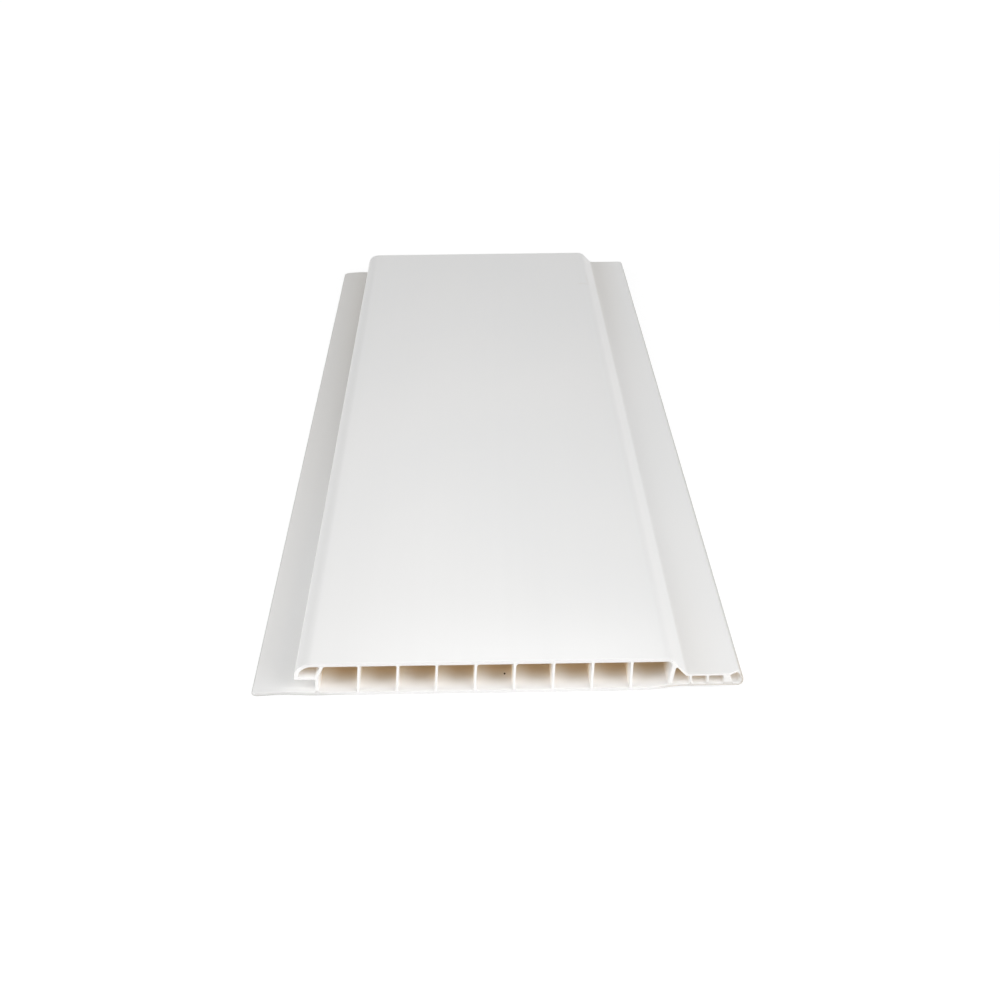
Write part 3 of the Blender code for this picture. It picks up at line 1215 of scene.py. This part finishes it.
@dataclass(frozen=True)
class SkinWhite:
    """Colour of the outer skin, with painted shade on the low faces beside the nose and the ramp.
    """

    white: Rgb = (0.862, 0.858, 0.850)
    cool_white: Rgb = (0.850, 0.850, 0.845)
    tint_noise: Point = (14.0, 8.0, 14.0)
    tint_detail: float = 3.0
    tint_share: Span = (0.35, 0.65)
    recess_shade: Rgb = (0.753, 0.733, 0.700)
    recess_z: Span = (4.6 * MM, 4.1 * MM)
    flange_shade: float = 0.28
    flange_far_gain: float = 0.44
    inner_flange: Span = (1.0 * MM, 9.0 * MM)
    inner_loss: float = 0.40
    inner_far_gain: float = 0.76
    flange_mouth: Span = (0.0, 0.05)
    tongue_inset: Span = (1.0 * MM, 12.0 * MM)
    tongue_shade: float = 0.10
    near_crease: float = 0.32
    near_along: Span = (0.25, 0.0)
    far_crease: float = 0.70
    far_along: Span = (0.5, 1.0)
    flange_to_tongue: Span = (-1.0 * MM, 1.0 * MM)

    def painted_shade(self, spot: Spot) -> Field:
        """Share of painted shade: close to the nose on the flange and to the ramp on the tongue,
        more far away.

        Args:
            spot: The point.

        Returns:
            The share of the painted shade.
        """
        far = spot.along.step(0.0, 1.0)
        inner = spot.across.step(*self.inner_flange)
        flange = (self.flange_shade + self.flange_far_gain * far
                  + inner * (self.inner_far_gain * far - self.inner_loss))
        flange = flange * spot.along.step(*self.flange_mouth)
        tongue = spot.inset.step(*self.tongue_inset) * (
            self.tongue_shade + self.near_crease * spot.along.step(*self.near_along)
            + self.far_crease * spot.along.step(*self.far_along))
        share = flange + spot.x.step(*self.flange_to_tongue) * (tongue - flange)
        return share * spot.z.step(*self.recess_z)

    def colour(self, spot: Spot) -> bpy.types.NodeSocket:
        """Colour of the skin at a point, with a faint drift between two whites and painted shade in
        the recesses.

        Args:
            spot: The point.

        Returns:
            The colour's socket.
        """
        drift = spot.graph.noise(spot.where, self.tint_noise, self.tint_detail)
        tint = spot.graph.blend(drift.step(*self.tint_share), self.white, self.cool_white)
        return spot.graph.blend(self.painted_shade(spot), tint, self.recess_shade)


@dataclass(frozen=True)
class SawnWhite:
    """Colour of the sawn ends: a darker white than the skin, lighter across the webs' heights, with
    painted shade low on the flange and at the tongue's foot.
    """

    white: Rgb = (0.733, 0.728, 0.722)
    web: Rgb = (0.810, 0.803, 0.794)
    web_z: Span = (1.0 * MM, 7.1 * MM)
    web_fade: float = 0.2 * MM
    tongue: Rgb = (0.61, 0.592, 0.565)
    tongue_across: Span = (91.5 * MM, 104.5 * MM)
    tongue_top_loss: float = 0.7
    tongue_top_z: Span = (1.6 * MM, 2.2 * MM)
    flange: Rgb = (0.63, 0.625, 0.615)
    flange_across: Span = (19.0 * MM, 16.0 * MM)
    flange_z: Span = (1.5 * MM, 1.0 * MM)

    def colour(self, spot: Spot) -> bpy.types.NodeSocket:
        """Colour of a sawn end at a point.

        Args:
            spot: The point.

        Returns:
            The colour's socket.
        """
        # Painted shade: the low parts of the cut end at the tongue and the flange, next to the
        # floor, take darker colours.
        top = self.tongue_top_loss * spot.z.step(*self.tongue_top_z)
        tongue = spot.across.step(*self.tongue_across) * (1.0 - top)
        flange = spot.across.step(*self.flange_across) * spot.z.step(*self.flange_z)
        sawn = spot.graph.blend(spot.z.between(*self.web_z, self.web_fade), self.white, self.web)
        sawn = spot.graph.blend(tongue, sawn, self.tongue)
        return spot.graph.blend(flange, sawn, self.flange)


@dataclass(frozen=True)
class PaintedRimShade:
    """Painted shade: a dark line along both long edges and under the near cut's outer ends."""

    grey: Rgb = (0.52, 0.525, 0.50)
    tan: Rgb = (0.56, 0.52, 0.465)
    tan_across: Span = (57.5 * MM, 67.5 * MM)
    tan_from_near: Span = (20.0 * MM, 2.0 * MM)
    left_across: Span = (0.45 * MM, 0.05 * MM)
    left_strength: float = 0.75
    right_inset: Span = (0.90 * MM, 0.40 * MM)
    cut_from_near: Span = (0.6 * MM, 0.2 * MM)
    flange_across: Span = (25.5 * MM, 14.5 * MM)
    flange_z: Span = (0.40 * MM, 0.10 * MM)
    tongue_across: Span = (93.5 * MM, 100.5 * MM)
    tongue_z: Span = (1.40 * MM, 1.15 * MM)
    tongue_strength: float = 0.7

    def share(self, spot: Spot, section: PlankSection) -> Field:
        """How much of the line shows at a point.

        Args:
            spot: The point.
            section: The plank's section, for the flange's bow.

        Returns:
            The share as a field.
        """
        turn = spot.across * (2.0 * math.pi / section.flange_reach)
        bow = (0.5 - 0.5 * turn.cosine()) * section.flange_bow
        flange = (spot.z - bow).step(*self.flange_z) * spot.across.step(*self.flange_across)
        tongue = spot.z.step(*self.tongue_z) * spot.across.step(*self.tongue_across)
        at_cut = spot.from_near.step(*self.cut_from_near)
        left = spot.across.step(*self.left_across) * self.left_strength
        under = at_cut * (flange + tongue * self.tongue_strength)
        return left.maximum(spot.inset.step(*self.right_inset)).maximum(under)

    def colour(self, spot: Spot) -> bpy.types.NodeSocket:
        """Colour of the painted shade line, grey but for the tongue's near end."""
        near = spot.across.step(*self.tan_across) * spot.from_near.step(*self.tan_from_near)
        return spot.graph.blend(near, self.grey, self.tan)


@dataclass(frozen=True)
class PvcFinish:
    """White rigid PVC: satin skin with die lines, sawn ends and a few marks, with painted shade in
    the recesses, the hollows and along the rims, and a painted glow in the hollows and the groove.
    """

    section: PlankSection
    length: float
    skin: SkinWhite = SkinWhite()
    sawn: SawnWhite = SawnWhite()
    rim_shade: PaintedRimShade = PaintedRimShade()
    hollows: PaintedHollowShade = PaintedHollowShade()
    light: PaintedSeepingGlow = PaintedSeepingGlow()
    marks: tuple[Mark, ...] = (
        Mark(1.86 * MM, -191.15 * MM, 0.24 * MM, 0.55 * MM,
             heights=(0.0, 1.5 * MM), colour=(0.05, 0.022, 0.008), strength=1.0),
        Mark(38.8 * MM, 148.9 * MM, 2.6 * MM, 1.3 * MM,
             heights=(7.5 * MM, 9.0 * MM), colour=(0.80, 0.78, 0.75), strength=0.5),
        Mark(41.0 * MM, 158.0 * MM, 0.9 * MM, 9.5 * MM,
             heights=(7.5 * MM, 9.0 * MM), colour=(0.80, 0.78, 0.75), strength=0.4),
    )
    arris: Span = (0.16 * MM, 0.05 * MM)
    refraction: float = 1.44
    roughness: float = 0.42
    sawn_roughness: float = 0.60
    hollow_roughness: float = 0.85
    noise_detail: float = 2.0
    die_line_noise: Point = (900.0, 3.0, 900.0)
    die_line_roughness: float = 0.10
    die_line_height: float = 0.5
    mottle_noise: Point = (22.0, 9.0, 22.0)
    mottle_roughness: float = 0.08
    peel_noise: Point = (1400.0, 1400.0, 1400.0)
    peel_height: float = 0.4
    stroke_noise: Point = (5200.0, 400.0, 260.0)
    stroke_height: float = 3.0
    relief_strength: float = 0.35
    relief_height: float = 0.012 * MM

    def material(self) -> bpy.types.Material:
        """Make the plank's material from object coordinates and the faces' marks.

        Returns:
            The material.
        """
        material = bpy.data.materials.new("white_pvc_skin")
        material.use_nodes = True
        graph = Graph(material.node_tree)
        spot = Spot(graph, self.section, self.length)
        die_lines = graph.noise(spot.where, self.die_line_noise, self.noise_detail)
        mottle = graph.noise(spot.where, self.mottle_noise, self.noise_detail)
        roughness = (self.roughness + self.die_line_roughness * (die_lines - 0.5)
                     + self.mottle_roughness * (mottle - 0.5)
                     + spot.hollow * (self.hollow_roughness - self.roughness)
                     + spot.cut * (self.sawn_roughness - self.roughness))
        shader = graph.node("ShaderNodeBsdfPrincipled", {}, {
            "Base Color": self.colour(spot),
            "Roughness": roughness,
            "Metallic": 0.0,
            "IOR": self.refraction,
            # Painted light: the emission is the glow of the hollows and the groove.
            "Emission Color": self.light.colour(spot),
            "Emission Strength": 1.0,
            "Normal": self.relief(spot, die_lines),
        })
        graph.node("ShaderNodeOutputMaterial", {}, {"Surface": shader.outputs["BSDF"]})
        return material

    def colour(self, spot: Spot) -> bpy.types.NodeSocket:
        """Base colour at a point: skin, sawn ends, painted rim shade and the hollows' painted
        shade, with the marks on top.

        Args:
            spot: The point.

        Returns:
            The colour's socket.
        """
        blend = spot.graph.blend
        # Painted shade: a thin band at each cut end takes the darker sawn colour, which tones down
        # the light on the softened edges.
        arris = spot.from_cut.step(*self.arris)
        outer = blend(spot.cut.maximum(arris), self.skin.colour(spot), self.sawn.colour(spot))
        outer = blend(self.rim_shade.share(spot, self.section), outer, self.rim_shade.colour(spot))
        colour = blend(spot.hollow * (1.0 - arris), outer, self.hollows.colour(spot))
        for mark in self.marks:
            colour = blend(mark.share(spot), colour, mark.colour)
        return colour

    def relief(self, spot: Spot, die_lines: Field) -> bpy.types.NodeSocket:
        """Fine relief: die lines and orange peel on the skin, saw strokes on the ends.

        Args:
            spot: The point.
            die_lines: Noise drawn out along the plank.

        Returns:
            The bumped normal's socket.
        """
        peel = spot.graph.noise(spot.where, self.peel_noise, self.noise_detail)
        strokes = spot.graph.noise(spot.where, self.stroke_noise, self.noise_detail)
        skin = die_lines * self.die_line_height + peel * self.peel_height
        bump = spot.graph.node("ShaderNodeBump", {}, {
            "Strength": self.relief_strength, "Distance": self.relief_height,
            "Height": (1.0 - spot.cut) * skin + spot.cut * strokes * self.stroke_height})
        return bump.outputs["Normal"]


@dataclass(frozen=True)
class SoftBox:
    """A rectangular studio lamp that points at a place on the plank."""

    name: str
    place: Point
    width: float
    height: float
    power: float
    aim: Point = NEAR_END
    mirrored: bool = True

    def build(self) -> bpy.types.Object:
        """Make the lamp, turned from its place towards its aim.

        Returns:
            The lamp's object.
        """
        lamp = bpy.data.lights.new(self.name, "AREA")
        lamp.shape = "RECTANGLE"
        lamp.size = self.width
        lamp.size_y = self.height
        lamp.energy = self.power
        holder = bpy.data.objects.new(self.name, lamp)
        holder.visible_camera = False
        holder.visible_glossy = self.mirrored
        direction = Vector(self.aim) - Vector(self.place)
        holder.matrix_world = (Matrix.Translation(self.place)
                               @ direction.to_track_quat("-Z", "Y").to_matrix().to_4x4())
        bpy.context.scene.collection.objects.link(holder)
        return holder


@dataclass(frozen=True)
class Studio:
    """Plain pale floor, soft lamps and the camera."""

    camera_place: Point = (-4.01 * MM, -634.97 * MM, 209.99 * MM)
    camera_pitch: float = 0.35640
    camera_yaw: float = -0.01174
    camera_roll: float = 0.01039
    lens: float = 74.12
    sensor: float = 36.0
    nearest_view: float = 10.0 * MM
    floor_half: float = 6.0
    floor_drop: float = 0.1 * MM
    floor_white: float = 0.90
    floor_glow: float = 0.86
    shadow_share: float = 0.24
    glow_starts: float = 0.30
    glow_full: float = 0.95
    ambient: float = 0.02
    lamps: tuple[SoftBox, ...] = (
        SoftBox("high_front_softbox", (0.05, -0.80, 0.62), 0.7, 0.4, 1.75, mirrored=False),
        SoftBox("high_front_right_softbox", (0.60, -0.75, 0.55), 0.5, 0.4, 3.55, mirrored=False),
        SoftBox("high_front_left_softbox", (-0.60, -0.75, 0.55), 0.5, 0.4, 4.0, mirrored=False),
        SoftBox("low_front_right_softbox", (0.50, -1.0, 0.33), 0.4, 0.3, 2.3, mirrored=False),
        SoftBox("right_softbox", (1.0, 0.0, 0.38), 1.2, 0.4, 4.1, MIDDLE, mirrored=False),
        SoftBox("left_softbox", (-1.0, 0.0, 0.38), 1.2, 0.4, 3.8, MIDDLE, mirrored=False),
        SoftBox("back_softbox", (0.0, 0.50, 0.46), 0.35, 0.10, 0.49),
        SoftBox("low_back_softbox", (-0.02, 0.75, 0.42), 0.14, 0.10, 0.18),
        SoftBox("near_end_softbox", (0.008, -0.20, 0.038), 0.06, 0.015, 0.0015,
                (0.008, -0.20, 0.0)),
    )

    def build_camera(self) -> bpy.types.Object:
        """Set the camera, turned by yaw about Z, pitch down about X and roll about the view.

        Returns:
            The camera.
        """
        data = bpy.data.cameras.new("camera")
        data.sensor_width = self.sensor
        data.lens = self.lens
        data.clip_start = self.nearest_view
        camera = bpy.data.objects.new("camera", data)
        turn = (Matrix.Rotation(self.camera_yaw, 4, "Z")
                @ Matrix.Rotation(-self.camera_pitch, 4, "X")
                @ Matrix.Rotation(self.camera_roll, 4, "Y")
                @ Matrix.Rotation(math.pi / 2.0, 4, "X"))
        camera.matrix_world = Matrix.Translation(self.camera_place) @ turn
        bpy.context.scene.collection.objects.link(camera)
        bpy.context.scene.camera = camera
        return camera

    def build_floor(self) -> bpy.types.Object:
        """Lay a square floor just under the plank, white to the eye but for the soft shadow.

        Returns:
            The floor.
        """
        half = self.floor_half
        mesh = bpy.data.meshes.new("floor")
        corners = [(-half, -half), (half, -half), (half, half), (-half, half)]
        mesh.from_pydata([(x, y, -self.floor_drop) for x, y in corners], [], [(0, 1, 2, 3)])
        floor = bpy.data.objects.new("floor", mesh)
        material = bpy.data.materials.new("floor_white")
        material.use_nodes = True
        graph = Graph(material.node_tree)
        lit = graph.node("ShaderNodeBsdfDiffuse", {}, {"Color": (self.floor_white,) * 3})
        faint = graph.node("ShaderNodeBsdfDiffuse", {}, {"Color": (self.shadow_share,) * 3})
        _, x, y, _ = graph.place()
        away = (x * x + y * y) ** 0.5
        rise = (1.0 - self.floor_glow) * away.step(self.glow_starts, self.glow_full)
        level = self.floor_glow + rise
        glow = graph.node("ShaderNodeEmission", {}, {"Strength": level})
        seen = graph.node("ShaderNodeAddShader", {}, {0: faint.outputs[0], 1: glow.outputs[0]})
        surface = graph.node("ShaderNodeMixShader", {}, {
            0: graph.seen_directly(), 1: lit.outputs[0], 2: seen.outputs[0]})
        graph.node("ShaderNodeOutputMaterial", {}, {"Surface": surface.outputs[0]})
        mesh.materials.append(material)
        bpy.context.scene.collection.objects.link(floor)
        return floor

    def build_world(self) -> None:
        """Light from all round at a plain level, seen directly as white."""
        world = bpy.data.worlds.new("studio")
        bpy.context.scene.world = world
        world.use_nodes = True
        graph = Graph(world.node_tree)
        soft = graph.node("ShaderNodeBackground", {}, {"Color": WHITE, "Strength": self.ambient})
        white = graph.node("ShaderNodeBackground", {}, {"Color": WHITE, "Strength": 1.0})
        surface = graph.node("ShaderNodeMixShader", {}, {
            0: graph.seen_directly(), 1: soft.outputs[0], 2: white.outputs[0]})
        graph.node("ShaderNodeOutputWorld", {}, {"Surface": surface.outputs[0]})

    def build(self) -> None:
        """Set up view, world, floor, lamps and camera."""
        bpy.context.scene.view_settings.view_transform = "Standard"
        self.build_world()
        self.build_floor()
        for lamp in self.lamps:
            lamp.build()
        self.build_camera()
        LOG.info("studio: %d lamps", len(self.lamps))


def main() -> None:
    """Build the plank from the frame's sizes, then the studio around it."""
    logging.basicConfig(level=logging.INFO)
    low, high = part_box("pvc_panel")
    size = high - low
    section = PlankSection(overall_width=size.x, thickness=size.z)
    plank = Plank(section=section, near_cut=SawCut(chip_depth=1.7 * MM),
                  far_cut=SawCut(corner_width=1.8 * MM, corner_length=3.2 * MM),
                  length=size.y, origin=low)
    plank.build(PvcFinish(section=section, length=size.y))
    Studio().build()


if __name__ == "__main__":
    main()
